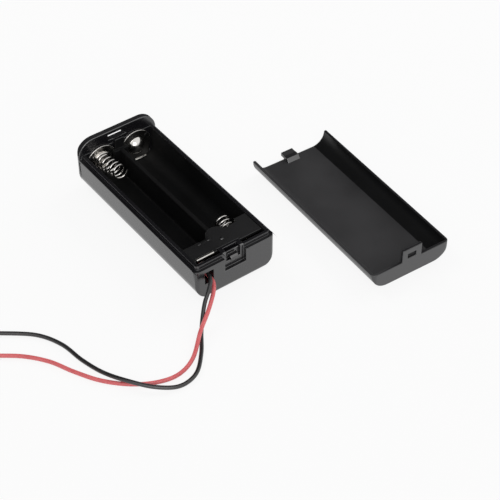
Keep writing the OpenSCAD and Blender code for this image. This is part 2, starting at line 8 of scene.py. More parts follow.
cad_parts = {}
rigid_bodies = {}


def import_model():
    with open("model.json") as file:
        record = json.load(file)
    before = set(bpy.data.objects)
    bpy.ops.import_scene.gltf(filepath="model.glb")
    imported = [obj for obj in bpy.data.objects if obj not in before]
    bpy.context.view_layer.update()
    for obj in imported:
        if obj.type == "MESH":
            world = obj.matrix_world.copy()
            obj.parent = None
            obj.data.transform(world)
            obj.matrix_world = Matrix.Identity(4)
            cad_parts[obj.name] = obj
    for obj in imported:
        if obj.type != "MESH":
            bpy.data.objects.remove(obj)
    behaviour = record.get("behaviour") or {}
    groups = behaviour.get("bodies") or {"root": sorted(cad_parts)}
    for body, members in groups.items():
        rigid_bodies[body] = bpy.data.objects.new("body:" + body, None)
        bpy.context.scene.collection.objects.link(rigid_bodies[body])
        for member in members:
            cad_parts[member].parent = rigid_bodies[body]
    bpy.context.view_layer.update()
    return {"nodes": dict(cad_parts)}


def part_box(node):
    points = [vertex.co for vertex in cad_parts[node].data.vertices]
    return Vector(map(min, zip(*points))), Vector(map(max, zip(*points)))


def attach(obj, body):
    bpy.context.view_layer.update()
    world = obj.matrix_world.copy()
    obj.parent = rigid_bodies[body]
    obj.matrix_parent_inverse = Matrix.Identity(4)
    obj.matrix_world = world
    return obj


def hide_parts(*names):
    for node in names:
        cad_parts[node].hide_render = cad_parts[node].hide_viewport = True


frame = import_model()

mm = 0.001


# ---- camera, on the case's near left corner ----

cameraSetup = {
    "place": (-0.17935, -0.28145, 0.3055),
    "yaw": 36.38,      # degrees from +Y towards +X
    "down": 43.55,
    "roll": 0.16,
    "lens": 109.5,
    "sensor": 36.0,
}


def makeCamera(c):
    data = bpy.data.cameras.new("camera")
    data.lens, data.sensor_width = c["lens"], c["sensor"]
    data.clip_start, data.clip_end = 0.01, 20
    cam = bpy.data.objects.new("camera", data)
    bpy.context.scene.collection.objects.link(cam)
    yaw, down = math.radians(c["yaw"]), math.radians(c["down"])
    look = Vector((math.sin(yaw) * math.cos(down), math.cos(yaw) * math.cos(down), -math.sin(down)))
    cam.location = c["place"]
    cam.rotation_mode = "QUATERNION"
    cam.rotation_quaternion = look.to_track_quat("-Z", "Y") @ Quaternion((0, 0, 1), math.radians(-c["roll"]))
    bpy.context.scene.camera = cam


makeCamera(cameraSetup)
print("camera set")


# ---- materials ----

def nodeMaterial(name, shader=True):
    mat = bpy.data.materials.new(name)
    mat.use_nodes = True
    tree = mat.node_tree
    tree.nodes.clear()
    out = tree.nodes.new("ShaderNodeOutputMaterial")
    body = None
    if shader:
        body = tree.nodes.new("ShaderNodeBsdfPrincipled")
        tree.links.new(body.outputs[0], out.inputs[0])
    return mat, tree, body, out


def noiseOn(tree, place, scale, detail=3.0, rough=0.5, squeeze=None):
    if squeeze:
        mapping = tree.nodes.new("ShaderNodeMapping")
        mapping.inputs["Scale"].default_value = squeeze
        tree.links.new(place, mapping.inputs["Vector"])
        place = mapping.outputs[0]
    node = tree.nodes.new("ShaderNodeTexNoise")
    node.inputs["Scale"].default_value = scale
    node.inputs["Detail"].default_value = detail
    node.inputs["Roughness"].default_value = rough
    tree.links.new(place, node.inputs["Vector"])
    return node.outputs["Fac"]


def ranged(tree, value, low, high, fromLow=0.3, fromHigh=0.7):
    node = tree.nodes.new("ShaderNodeMapRange")
    node.inputs["From Min"].default_value = fromLow
    node.inputs["From Max"].default_value = fromHigh
    node.inputs["To Min"].default_value = low
    node.inputs["To Max"].default_value = high
    tree.links.new(value, node.inputs["Value"])
    return node.outputs["Result"]


def blended(tree, value, first, second, fromLow=0.35, fromHigh=0.65):
    node = tree.nodes.new("ShaderNodeMix")
    node.data_type = "RGBA"
    node.inputs["A"].default_value = (*first, 1)
    node.inputs["B"].default_value = (*second, 1)
    tree.links.new(ranged(tree, value, 0, 1, fromLow, fromHigh), node.inputs["Factor"])
    return node.outputs["Result"]


def bumped(tree, body, height, strength, depth, under=None):
    node = tree.nodes.new("ShaderNodeBump")
    node.inputs["Strength"].default_value = strength
    node.inputs["Distance"].default_value = depth
    tree.links.new(height, node.inputs["Height"])
    if under is not None:
        tree.links.new(under, node.inputs["Normal"])
    tree.links.new(node.outputs[0], body.inputs["Normal"])
    return node.outputs[0]


# moulded plastic: cloudy tint and gloss, faint flow waves from the mould, fine grain
def mouldedPlastic(name, look):
    mat, tree, body, _ = nodeMaterial(name)
    place = tree.nodes.new("ShaderNodeTexCoord").outputs["Object"]
    cloud = noiseOn(tree, place, look["cloudScale"], 4)
    grain = noiseOn(tree, place, look["grainScale"], 2, 0.6)
    flow = noiseOn(tree, place, look["flowScale"], 3, 0.5, look["flowSqueeze"])
    tree.links.new(blended(tree, cloud, look["dark"], look["light"]), body.inputs["Base Color"])
    tree.links.new(ranged(tree, cloud, look["roughLow"], look["roughHigh"]), body.inputs["Roughness"])
    body.inputs["IOR"].default_value = look["ior"]
    low = bumped(tree, body, flow, look["flowStrength"], look["flowDepth"])
    bumped(tree, body, grain, look["grainStrength"], look["grainDepth"], low)
    return mat


# plated metal: drawn or rolled lines in its gloss
def platedMetal(name, look):
    mat, tree, body, _ = nodeMaterial(name)
    place = tree.nodes.new("ShaderNodeTexCoord").outputs["Object"]
    cloud = noiseOn(tree, place, look["cloudScale"], 4)
    lines = noiseOn(tree, place, look["lineScale"], 3, 0.6, look["lineSqueeze"])
    tree.links.new(blended(tree, cloud, look["dark"], look["light"]), body.inputs["Base Color"])
    tree.links.new(ranged(tree, lines, look["roughLow"], look["roughHigh"]), body.inputs["Roughness"])
    body.inputs["Metallic"].default_value = 1
    bumped(tree, body, lines, look["lineStrength"], look["lineDepth"])
    return mat


# soft insulation: even colour with a little light passing under its skin
def softInsulation(name, look):
    mat, tree, body, _ = nodeMaterial(name)
    place = tree.nodes.new("ShaderNodeTexCoord").outputs["Object"]
    cloud = noiseOn(tree, place, look["cloudScale"], 3)
    fine = noiseOn(tree, place, look["grainScale"], 2, 0.6)
    tree.links.new(blended(tree, cloud, look["dark"], look["light"]), body.inputs["Base Color"])
    tree.links.new(ranged(tree, fine, look["roughLow"], look["roughHigh"]), body.inputs["Roughness"])
    body.inputs["IOR"].default_value = look["ior"]
    body.inputs["Subsurface Weight"].default_value = look["glow"]
    body.inputs["Subsurface Radius"].default_value = look["glowDepth"]
    body.inputs["Subsurface Scale"].default_value = 1.0
    bumped(tree, body, fine, look["grainStrength"], look["grainDepth"])
    return mat


caseLook = {
    "dark": (0.0072, 0.0069, 0.0084), "light": (0.0100, 0.0096, 0.0116),
    "cloudScale": 45, "grainScale": 5200, "flowScale": 160, "flowSqueeze": (1, 0.12, 1),
    "roughLow": 0.17, "roughHigh": 0.25, "ior": 1.78,
    "grainStrength": 0.20, "grainDepth": 0.00001, "flowStrength": 0.05, "flowDepth": 0.00006,
}
# inside the bays the mould was left rougher, so the plastic looks dull; its colour is also painted darker, as
# painted shade deep in the bays
bayShadeLook = {**caseLook, "dark": (0.0028, 0.0028, 0.0030), "light": (0.0042, 0.0042, 0.0045),
           "roughLow": 0.50, "roughHigh": 0.62, "ior": 1.35, "grainStrength": 0.35}
coverLook = {**caseLook, "dark": (0.0125, 0.0122, 0.0138), "light": (0.0165, 0.0160, 0.0180),
             "roughLow": 0.26, "roughHigh": 0.36, "cloudScale": 38}
# the cover's panel, its left flange's top and its hook's top: duller than its outside, and painted paler as
# painted light falling on these upward faces
coverLitLook = {**coverLook, "dark": (0.0215, 0.0210, 0.0225), "light": (0.0290, 0.0283, 0.0302),
            "roughLow": 0.50, "roughHigh": 0.60, "grainStrength": 0.35, "cloudScale": 60}
# its right flange's inner wall: smoother than the panel, and painted darker as painted shade on that wall
flangeShadeLook = {**coverLook, "dark": (0.0040, 0.0040, 0.0043), "light": (0.0062, 0.0062, 0.0066),
              "roughLow": 0.36, "roughHigh": 0.46, "ior": 1.40}
# the hood's crest and the divider's edge: dull, with hardly any gloss, and painted paler as a painted highlight on
# these ridges
ridgeLitLook = {**caseLook, "dark": (0.0170, 0.0167, 0.0180), "light": (0.0230, 0.0226, 0.0242),
             "roughLow": 0.50, "roughHigh": 0.60, "ior": 1.10}
# edges rubbed shiny
edgeLook = {**caseLook, "roughLow": 0.16, "roughHigh": 0.24, "ior": 2.35}
plateLook = {**caseLook, "dark": (0.0085, 0.0085, 0.0090), "light": (0.0120, 0.0120, 0.0127),
             "roughLow": 0.30, "roughHigh": 0.42}
knobLook = {**caseLook, "roughLow": 0.3, "roughHigh": 0.42}
contactLook = {
    "dark": (0.66, 0.64, 0.60), "light": (0.80, 0.78, 0.75), "cloudScale": 240,
    "lineScale": 900, "lineSqueeze": (1, 1, 0.12), "lineStrength": 0.12, "lineDepth": 0.00001,
    "roughLow": 0.12, "roughHigh": 0.24,
}
# the sheet's cut edges: rougher, and painted paler as a painted highlight
edgeHighlightLook = {**contactLook, "dark": (0.80, 0.78, 0.74), "light": (0.90, 0.88, 0.85),
               "roughLow": 0.42, "roughHigh": 0.55}
springLook = {**contactLook, "roughLow": 0.10, "roughHigh": 0.18, "dark": (0.70, 0.68, 0.65),
              "light": (0.84, 0.82, 0.80), "lineSqueeze": (1, 1, 1)}
tinLook = {**contactLook, "dark": (0.55, 0.55, 0.54), "light": (0.68, 0.68, 0.67),
           "roughLow": 0.25, "roughHigh": 0.42}
tinWireLook = {**tinLook, "lineSqueeze": (1, 1, 1), "roughLow": 0.18, "roughHigh": 0.3}
terminalLook = {**contactLook, "dark": (0.62, 0.56, 0.42), "light": (0.76, 0.71, 0.58)}
wiperLook = {**contactLook, "dark": (0.55, 0.33, 0.15), "light": (0.72, 0.48, 0.24)}
solderLook = {**contactLook, "dark": (0.50, 0.50, 0.51), "light": (0.66, 0.66, 0.67), "lineSqueeze": (1, 1, 1)}
laminateLook = {**caseLook, "dark": (0.16, 0.07, 0.03), "light": (0.24, 0.11, 0.045), "ior": 1.55,
                "roughLow": 0.45, "roughHigh": 0.6}
insulationLook = {"cloudScale": 260, "grainScale": 5200, "grainStrength": 0.15, "grainDepth": 0.00001,
                  "glowDepth": (0.0006, 0.0002, 0.0002)}
redLook = {**insulationLook, "dark": (0.80, 0.150, 0.160), "light": (0.90, 0.195, 0.205),
           "roughLow": 0.26, "roughHigh": 0.38, "glow": 0.09, "ior": 1.6}
blackLook = {**insulationLook, "dark": (0.018, 0.017, 0.018), "light": (0.026, 0.025, 0.026),
             "roughLow": 0.28, "roughHigh": 0.40, "glow": 0.0, "ior": 1.75}

casePlastic = mouldedPlastic("satin_black_case", caseLook)
bayShadedPlastic = mouldedPlastic("dull_black_bay_painted_shade", bayShadeLook)
coverPlastic = mouldedPlastic("satin_black_cover", coverLook)
coverLitPlastic = mouldedPlastic("dull_black_inside_painted_light", coverLitLook)
flangeShadedPlastic = mouldedPlastic("smooth_black_flange_painted_shade", flangeShadeLook)
ridgeLitPlastic = mouldedPlastic("dull_black_ridge_painted_light", ridgeLitLook)
edgePlastic = mouldedPlastic("polished_black_edge", edgeLook)
platePlastic = mouldedPlastic("satin_black_plate", plateLook)
knobPlastic = mouldedPlastic("satin_black_knob", knobLook)
laminate = mouldedPlastic("brown_laminate", laminateLook)
edgeHighlightNickel = platedMetal("nickel_cut_edge_painted_highlight", edgeHighlightLook)
nickelSheet = platedMetal("nickel_sheet", contactLook)
nickelWire = platedMetal("nickel_wire", springLook)
tinnedSteel = platedMetal("tinned_steel", tinLook)
silverBrass = platedMetal("silvered_brass", terminalLook)
bronze = platedMetal("spring_bronze", wiperLook)
solder = platedMetal("solder", solderLook)
tinnedCopper = platedMetal("tinned_copper", tinWireLook)
redSkin = softInsulation("red_insulation", redLook)
blackSkin = softInsulation("black_insulation", blackLook)
print("materials made")


# ---- shared tools ----

def newPiece(name, mesh, mat):
    mesh.materials.clear()
    mesh.materials.append(mat)
    o = bpy.data.objects.new(name, mesh)
    bpy.context.scene.collection.objects.link(o)
    return o


def takePlace(piece, nodeName, body):
    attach(piece, body)
    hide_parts(nodeName)


# a smooth curve through all the points, as a line of short steps
def smoothThrough(points, steps):
    last = len(points) - 1
    out = []
    for i in range(last):
        a, b, c, d = (points[max(i - 1, 0)], points[i], points[i + 1], points[min(i + 2, last)])
        for k in range(steps):
            t = k / steps
            out.append((2 * b + (c - a) * t + (2 * a - 5 * b + 4 * c - d) * t * t
                        + (3 * b - a - 3 * c + d) * t ** 3) / 2)
    out.append(points[-1].copy())
    return out


# round tube along a line of points, with rounded rims at both ends
def sweptTube(name, line, radius, sides, rim, mat):
    bm = bmesh.new()
    tangents = [(line[min(i + 1, len(line) - 1)] - line[max(i - 1, 0)]).normalized() for i in range(len(line))]
    first, last = tangents[0], tangents[-1]
    stops = [(line[0], first, radius - rim)] + [(line[0] + rim * first, first, radius)]
    stops += [(p, t, radius) for p, t in zip(line[1:-1], tangents[1:-1])]
    stops += [(line[-1] - rim * last, last, radius), (line[-1], last, radius - rim)]
    normal = Vector((0.1, 1, 0.1))
    rings = []
    for p, t, r in stops:
        normal = (normal - t * normal.dot(t)).normalized()
        side = t.cross(normal)
        rings.append([bm.verts.new(p + r * (math.cos(a) * normal + math.sin(a) * side))
                      for a in (2 * math.pi * k / sides for k in range(sides))])
    for ring, after in zip(rings, rings[1:]):
        for k in range(sides):
            j = (k + 1) % sides
            bm.faces.new((ring[k], ring[j], after[j], after[k]))
    bm.faces.new(list(reversed(rings[0])))
    bm.faces.new(rings[-1])
    bmesh.ops.recalc_face_normals(bm, faces=bm.faces)
    mesh = bpy.data.meshes.new(name)
    bm.to_mesh(mesh)
    bm.free()
    for f in mesh.polygons:
        f.use_smooth = len(f.vertices) == 4
    return newPiece(name, mesh, mat)


class NodeSet:
    # a Geometry Nodes tree with named inputs, and short ways to add arithmetic
    def __init__(self, name, inputs):
        self.tree = bpy.data.node_groups.new(name, "GeometryNodeTree")
        face = self.tree.interface
        face.new_socket(name="Geometry", in_out="INPUT", socket_type="NodeSocketGeometry")
        self.ids = {}
        for label, value in inputs.items():
            kind = {int: "NodeSocketInt", float: "NodeSocketFloat", tuple: "NodeSocketVector",
                    bpy.types.Material: "NodeSocketMaterial"}[type(value)]
            socket = face.new_socket(name=label, in_out="INPUT", socket_type=kind)
            socket.default_value = value
            self.ids[label] = socket.identifier
        face.new_socket(name="Geometry", in_out="OUTPUT", socket_type="NodeSocketGeometry")
        self.start = self.tree.nodes.new("NodeGroupInput")
        self.end = self.tree.nodes.new("NodeGroupOutput")

    def given(self, label):
        return self.start.outputs[label]

    def join(self, source, target):
        if isinstance(source, bpy.types.NodeSocket):
            self.tree.links.new(source, target)
        else:
            target.default_value = source

    def node(self, kind, links=None, **settings):
        n = self.tree.nodes.new(kind)
        for key, value in settings.items():
            setattr(n, key, value)
        for key, value in (links or {}).items():
            self.join(value, n.inputs[key])
        return n

    def sum(self, op, a, b=0.0):
        return self.node("ShaderNodeMath", {0: a, 1: b}, operation=op).outputs[0]

    def vector(self, x, y, z):
        return self.node("ShaderNodeCombineXYZ", {0: x, 1: y, 2: z}).outputs[0]

    def moved(self, op, a, b):
        key = "Scale" if op == "SCALE" else 1
        return self.node("ShaderNodeVectorMath", {0: a, key: b}, operation=op).outputs[0]

    def finish(self, geometry, mat):
        smooth = self.node("GeometryNodeSetShadeSmooth", {"Geometry": geometry})
        real = self.node("GeometryNodeRealizeInstances", {0: smooth.outputs[0]})
        skin = self.node("GeometryNodeSetMaterial", {"Geometry": real.outputs[0], "Material": mat})
        self.tree.links.new(skin.outputs[0], self.end.inputs[0])


# the tree's result as a plain mesh
def grown(name, nodes, values, mat):
    seed = bpy.data.objects.new(name + "_seed", bpy.data.meshes.new(name + "_seed"))
    bpy.context.scene.collection.objects.link(seed)
    mod = seed.modifiers.new("nodes", "NODES")
    mod.node_group = nodes.tree
    for label, value in values.items():
        mod[nodes.ids[label]] = value
    mesh = bpy.data.meshes.new_from_object(seed.evaluated_get(bpy.context.evaluated_depsgraph_get()))
    bpy.data.objects.remove(seed)
    mesh.name = name
    return newPiece(name, mesh, mat)


# ---- leads, from their joints in the compartment to their bare ends ----

leadSizes = {
    "radius": 0.6 * mm,
    "sides": 20,
    "steps": 10,
    "rim": 0.06 * mm,
    "bareLength": 5.0 * mm,
    "bareStart": 0.5 * mm,   # how far the strands begin inside the insulation
    "strands": 7,            # one in the middle, the others laid round it
    "strandRadius": 0.1 * mm,
    "strandTurns": 0.9,      # lay of the strands over the bare length
    "strandSides": 10,
    "strandSteps": 40,
}
# where each lead leaves the case, and its course from there in millimetres, joint first
redRoute = {
    "exit": (-8.4, -31.25, 6.4),
    "points": [(0, 5, 3.4), (0, 4.53, 1.83), (0, 3.65, 0.72), (0, 2.2, 0.05), (0, 0, 0), (-0.5, -1.7, -0.2),
               (-2.2, -3.9, -1), (-6.4, -7.3, -2.8), (-12, -11.5, -3.9), (-18.6, -17.2, -5.5),
               (-24.8, -19.5, -5.75), (-31, -18.4, -5.75), (-37.2, -14.7, -5.75),
               (-42.8, -8.9, -5.75), (-46.9, -1.9, -5.75), (-50.2, 5, -5.75), (-54.9, 10.9, -5.75),
               (-61, 15.8, -5.75), (-68.29, 21.39, -5.75)],
}
blackRoute = {
    "exit": (-9.0, -31.25, 7.6),
    "points": [(10.85, 5.2, 1), (8, 5.2, 1), (5.4, 5.1, 0.9), (3, 4.4, 0.7), (1.3, 3.1, 0.45), (0.5, 1.6, 0.2),
               (0, 0, 0), (-0.9, -1.6, -0.35), (-2.7, -3.2, -1.3), (-5.8, -5.4, -3.4),
               (-10.2, -10.2, -6.4), (-15, -16.9, -6.95), (-20.4, -22.1, -6.95),
               (-26.4, -23.1, -6.95), (-32.2, -20, -6.2), (-37.2, -14.3, -5.5),
               (-40.4, -7.2, -6.4), (-42.3, 0.4, -6.95), (-43.7, 8.6, -6.95), (-47.6, 15.9, -6.95),
               (-55.53, 22.59, -6.95)],
}


# seven strands, six laid round one, each a thin rod along the line from start
def strandNodes():
    s = leadSizes
    n = NodeSet("laid_strands", {
        "Start": (0.0, 0.0, 0.0), "Along": (0.0, 1.0, 0.0), "Side": (1.0, 0.0, 0.0), "Up": (0.0, 0.0, 1.0),
        "Strand Radius": s["strandRadius"], "Turns": s["strandTurns"], "Steps": s["strandSteps"]})
    line = n.node("GeometryNodeCurvePrimitiveLine", {"Start": (0, 0, 0), "End": (0, 0, 1)})
    line = n.node("GeometryNodeResampleCurve", {"Curve": line.outputs[0], "Count": n.given("Steps")})
    copies = n.node("GeometryNodeDuplicateElements", {0: line.outputs[0], "Amount": s["strands"]}, domain="SPLINE")
    share = n.node("GeometryNodeSplineParameter").outputs["Factor"]
    index = copies.outputs[1]
    outer = n.sum("LESS_THAN", index, s["strands"] - 1.5)
    wide = n.sum("MULTIPLY", n.sum("MULTIPLY", n.given("Strand Radius"), 2.0), outer)
    angle = n.sum("ADD", n.sum("MULTIPLY", index, 2 * math.pi / (s["strands"] - 1)),
                  n.sum("MULTIPLY", n.sum("MULTIPLY", n.given("Turns"), 2 * math.pi), share))
    sideways = n.sum("MULTIPLY", wide, n.sum("COSINE", angle))
    upward = n.sum("MULTIPLY", wide, n.sum("SINE", angle))
    place = n.moved("ADD", n.given("Start"), n.moved("SCALE", n.given("Along"), share))
    place = n.moved("ADD", place, n.moved("SCALE", n.given("Side"), sideways))
    place = n.moved("ADD", place, n.moved("SCALE", n.given("Up"), upward))
    laid = n.node("GeometryNodeSetPosition", {"Geometry": copies.outputs[0], "Position": place})
    ring = n.node("GeometryNodeCurvePrimitiveCircle",
                  {"Resolution": s["strandSides"], "Radius": n.given("Strand Radius")})
    rods = n.node("GeometryNodeCurveToMesh",
                  {"Curve": laid.outputs[0], "Profile Curve": ring.outputs[0], "Fill Caps": True})
    n.finish(rods.outputs[0], tinnedCopper)
    return n


strands = strandNodes()


def makeLead(colourName, route, skin):
    s = leadSizes
    exitPoint = Vector(route["exit"]) * mm
    line = smoothThrough([exitPoint + Vector(p) * mm for p in route["points"]], s["steps"])
    lead = sweptTube(colourName + "_insulation", line, s["radius"], s["sides"], s["rim"], skin)
    takePlace(lead, colourName + "_lead", "case_body")
    along = line[-1] - line[-2]
    along.z = 0
    along.normalize()
    side = Vector((-along.y, along.x, 0))
    bare = grown(colourName + "_strands", strands, {
        "Start": line[-1] - s["bareStart"] * along, "Along": (s["bareLength"] + s["bareStart"]) * along,
        "Side": side, "Strand Radius": s["strandRadius"], "Turns": s["strandTurns"]}, tinnedCopper)
    takePlace(bare, colourName + "_lead_end", "case_body")


makeLead("red", redRoute, redSkin)
makeLead("black", blackRoute, blackSkin)
print("leads laid")


# ---- springs: one wire wound from a wide base turn to a narrow tip ----

springSizes = {
    "wire": 0.55 * mm,
    "baseRadius": 3.1 * mm,
    "firstTurnIn": 0.65 * mm,    # how far the base turn closes in
    "tipRadius": 2.1 * mm,
    "sink": 0.04 * mm,           # the base turn pressed into its plate
    "axisHeight": 7.75 * mm,
    "flatTurns": 0.9,            # the part of the base turn that lies flat
    "sides": 14,
    "steps": 241,
}
# the tip stands off the axis by lean (sideways) and lift (upwards)
farSpring = {"x": -6.175 * mm, "facing": -1.0, "length": 10.0 * mm, "turns": 6.0,
             "lean": 0.7 * mm, "lift": 1.6 * mm}
nearSpring = {"x": 6.175 * mm, "facing": 1.0, "length": 5.8 * mm, "turns": 5.0,
              "lean": 0.0, "lift": 1.7 * mm}


def coilNodes():
    s = springSizes
    n = NodeSet("wound_wire", {"Foot": (0.0, 0.0, 0.0), "Facing": 1.0, "Turns": 5.0, "Rise": 0.005, "Lean": 0.0,
                               "Lift": 0.0, "Base Radius": s["baseRadius"], "First Turn In": s["firstTurnIn"],
                               "Tip Radius": s["tipRadius"], "Wire": s["wire"], "Steps": s["steps"]})
    line = n.node("GeometryNodeCurvePrimitiveLine", {"Start": (0, 0, 0), "End": (0, 0, 1)})
    line = n.node("GeometryNodeResampleCurve", {"Curve": line.outputs[0], "Count": n.given("Steps")})
    turn = n.sum("MULTIPLY", n.node("GeometryNodeSplineParameter").outputs["Factor"], n.given("Turns"))
    angle = n.sum("MULTIPLY", turn, 2 * math.pi)
    risen = n.sum("SUBTRACT", turn, s["flatTurns"])
    up = n.sum("MAXIMUM", n.sum("DIVIDE", risen, n.sum("SUBTRACT", n.given("Turns"), s["flatTurns"])), 0.0)
    closed = n.sum("SUBTRACT", n.given("Base Radius"), n.given("First Turn In"))
    afterFirst = n.sum("MAXIMUM", n.sum("SUBTRACT", turn, 1.0), 0.0)
    narrowing = n.sum("DIVIDE", afterFirst, n.sum("SUBTRACT", n.given("Turns"), 1.0))
    firstIn = n.sum("MULTIPLY", n.given("First Turn In"), n.sum("MINIMUM", turn, 1.0))
    radius = n.sum("SUBTRACT", n.sum("SUBTRACT", n.given("Base Radius"), firstIn),
                   n.sum("MULTIPLY", narrowing, n.sum("SUBTRACT", closed, n.given("Tip Radius"))))
    place = n.vector(
        n.sum("ADD", n.sum("MULTIPLY", radius, n.sum("COSINE", angle)), n.sum("MULTIPLY", n.given("Lean"), up)),
        n.sum("MULTIPLY", n.given("Facing"), n.sum("MULTIPLY", n.given("Rise"), up)),
        n.sum("ADD", n.sum("MULTIPLY", radius, n.sum("SINE", angle)), n.sum("MULTIPLY", n.given("Lift"), up)))
    wound = n.node("GeometryNodeSetPosition", {"Geometry": line.outputs[0],
                                               "Position": n.moved("ADD", n.given("Foot"), place)})
    ring = n.node("GeometryNodeCurvePrimitiveCircle",
                  {"Resolution": s["sides"], "Radius": n.sum("MULTIPLY", n.given("Wire"), 0.5)})
    wire = n.node("GeometryNodeCurveToMesh",
                  {"Curve": wound.outputs[0], "Profile Curve": ring.outputs[0], "Fill Caps": True})
    n.finish(wire.outputs[0], nickelWire)
    return n


coils = coilNodes()


def makeSpring(nodeName, spring):
    s = springSizes
    low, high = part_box(nodeName)
    plate = (high[1] - s["sink"]) if spring["facing"] < 0 else (low[1] + s["sink"])
    foot = (spring["x"], plate + spring["facing"] * (s["wire"] / 2 - s["sink"]), s["axisHeight"])
    piece = grown(nodeName.replace("spring", "coil"), coils, {
        "Foot": foot, "Facing": spring["facing"], "Turns": spring["turns"], "Lean": spring["lean"],
        "Lift": spring["lift"], "Rise": spring["length"] - s["wire"] + s["sink"]}, nickelWire)
    takePlace(piece, nodeName, "case_body")


makeSpring("far_spring", farSpring)
makeSpring("near_spring", nearSpring)
print("springs wound")


# ---- mouldings, contacts and switch: the frame's own shapes with rounded edges ----

edgeSizes = {
    "case": 0.14 * mm, "cover": 0.16 * mm, "plate": 0.12 * mm, "knob": 0.12 * mm,
    "sheet": 0.14 * mm, "thin": 0.07 * mm, "can": 0.10 * mm, "laminate": 0.05 * mm,
    "segments": 2,
    "roundFrom": 35,     # degrees; duller corners than this stay as they are
    "sharpFrom": 60,     # degrees; sharper corners keep their own shading
    "oneFace": 0.6,      # degrees; facets flatter than this are joined
    "weld": 0.000001,
}
# the hood's front edge is rounder: the boxes in millimetres that hold it
rounder = {
    "width": 0.26 * mm,
    "case": [((-14, 29.2, 16.1), (14, 29.5, 17.2)), ((-14, 29.2, 12.6), (-9.5, 29.5, 17.2)),
             ((9.5, 29.2, 12.6), (14, 29.5, 17.2))],
}

# where the finishes and the painted light and shade change; the cover's and the hook's are from the cover's own
# box
zones = {
    "bayWide": 12.3 * mm, "bayNear": -22.5 * mm, "bayFar": 29.1 * mm, "bayLow": 1 * mm, "bayHigh": 12.3 * mm,
    "dividerWide": 0.8 * mm, "dividerLow": 9.9 * mm,
    "hoodNear": 29 * mm, "crestNear": 29.25 * mm, "hoodLow": 12.6 * mm,
    "latchFar": -24 * mm, "latchWide": 6.5 * mm, "latchLow": 5 * mm,
    "panelLow": 0.5 * mm, "panelHigh": 2.2 * mm, "flangeFrom": 9 * mm, "rim": 0.3 * mm,
    "hook": 2.2 * mm, "hookRoot": 4.5 * mm,
    "buttonX": 6.175 * mm, "buttonHeight": 7.75 * mm, "buttonRadius": 3.6 * mm,
}


# each test below tells whether a face gets another finish, painted light or painted shade than the rest of its
# piece
# inside the bays, whose faces get painted shade
def inBays(f, low, high):
    c, z = f.center, zones
    return (abs(c.x) < z["bayWide"] and z["bayNear"] < c.y < z["bayFar"]
            and z["bayLow"] < c.z < z["bayHigh"])


# the divider's right edge, painted paler as a painted highlight
def onDivider(f, low, high):
    c, z = f.center, zones
    return (f.normal.x > 0.25 and abs(c.x) < z["dividerWide"] and z["bayNear"] < c.y < z["bayFar"]
            and z["dividerLow"] < c.z < z["bayHigh"])


# the crest of the hood, but not its front edge; painted paler there as painted light
def onCrest(f, low, high):
    c, n = f.center, f.normal
    return c.y > zones["crestNear"] and c.z > zones["hoodLow"] and n.z > 0.1 and n.y > -0.25


# the hood's front edge, and those round the latch
def onFrontEdge(f, low, high):
    c, n, z = f.center, f.normal, zones
    onHood = c.y > z["hoodNear"] and c.z > z["hoodLow"]
    atLatch = c.y < z["latchFar"] and abs(c.x) < z["latchWide"] and c.z > z["latchLow"]
    return -0.97 < n.y < -0.25 and n.z > 0.25 and (onHood or atLatch)


def onHookRoot(f, low, high):
    return f.center.y > high[1] - zones["hookRoot"] and -0.95 < f.normal.y < -0.2 and f.normal.z > 0.2


# the cover's panel, painted paler as painted light
def onPanel(f, low, high):
    c, z = f.center, zones
    return (f.normal.z > 0.985 and low[2] + z["panelLow"] < c.z < low[2] + z["panelHigh"]
            and c.y < high[1] - z["hook"])


def fromMiddle(f, low, high):
    return f.center.x - (low[0] + high[0]) / 2


# the right flange's inner wall, which gets painted shade
def onRightFlange(f, low, high):
    return (fromMiddle(f, low, high) > zones["flangeFrom"] and f.normal.x < 0 and f.normal.z > 0.02
            and f.center.z < high[2] - zones["rim"])


# the left flange's upward faces, painted paler as painted light
def onLeftFlange(f, low, high):
    return fromMiddle(f, low, high) < -zones["flangeFrom"] and f.normal.z > 0.3


# the hook's top, painted paler as painted light
def onHook(f, low, high):
    return f.center.y > high[1] - zones["hook"] and f.normal.z > 0.9


# the cut edges of sheet metal, which are rougher than its rolled faces and its pressed button, and painted paler
# as a painted highlight
def onCutEdge(f, low, high):
    c, z = f.center, zones
    onButton = c.x > 0 and math.hypot(c.x - z["buttonX"], c.z - z["buttonHeight"]) < z["buttonRadius"]
    return abs(f.normal.y) < 0.75 and not onButton


# painted shade in the bays and on the cover's right inner wall; painted highlights on the divider edge, hood
# crest, cover's upward faces and the bridge contact's cut edges
finishesAndPaintedLight = {
    "case": [(inBays, bayShadedPlastic), (onDivider, ridgeLitPlastic), (onCrest, ridgeLitPlastic),
             (onFrontEdge, edgePlastic)],
    "cover": [(onPanel, coverLitPlastic), (onLeftFlange, coverLitPlastic), (onHook, coverLitPlastic),
              (onRightFlange, flangeShadedPlastic), (onHookRoot, edgePlastic)],
    "bridge_contact": [(onCutEdge, edgeHighlightNickel)],
}
